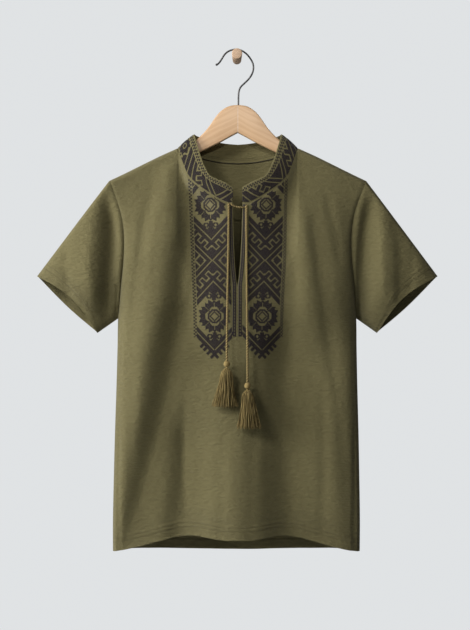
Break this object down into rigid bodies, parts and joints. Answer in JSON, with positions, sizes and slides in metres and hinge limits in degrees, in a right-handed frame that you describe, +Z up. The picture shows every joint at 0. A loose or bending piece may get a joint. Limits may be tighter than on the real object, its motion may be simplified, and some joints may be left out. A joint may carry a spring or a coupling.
{
  "type": "vyshyvanka shirt on a wooden hanger and wall peg",
  "caption": "Short-sleeved stand-collar vyshyvanka shirt with a slit neck and tasselled cords, hung on a wooden hanger from a round wall peg.",
  "frame": {"origin": "centre of the peg's back face, where the peg meets the wall and the whole part is held", "axes": "+Z up, +Y along the peg into the wall, +X to the right of someone who faces the front of the shirt"},
  "size_m": [0.6952, 0.1119, 0.8747],
  "materials": {
    "cloth": "soft matt cotton jersey, olive green",
    "embroidery": "dark purple-brown cotton thread with a slight sheen",
    "wood": "satin clear varnish on pale hardwood",
    "peg_wood": "bare sanded pale hardwood",
    "steel": "dark drawn wire",
    "cord": "twisted cotton cord, olive gold"
  },
  "bodies": {
    "root": {"front": "cloth", "back": "cloth", "sleeve_left": "cloth", "sleeve_right": "cloth", "collar": "cloth", "hanger_left": "wood", "hanger_right": "wood", "hanger_hook": "steel", "wall_peg": "peg_wood", "cord_left": "cord", "cord_right": "cord", "cord_bridge": "cord", "bead_left": "cord", "bead_right": "cord", "tassel_left": "cord", "tassel_right": "cord"}
  },
  "joints": []
}
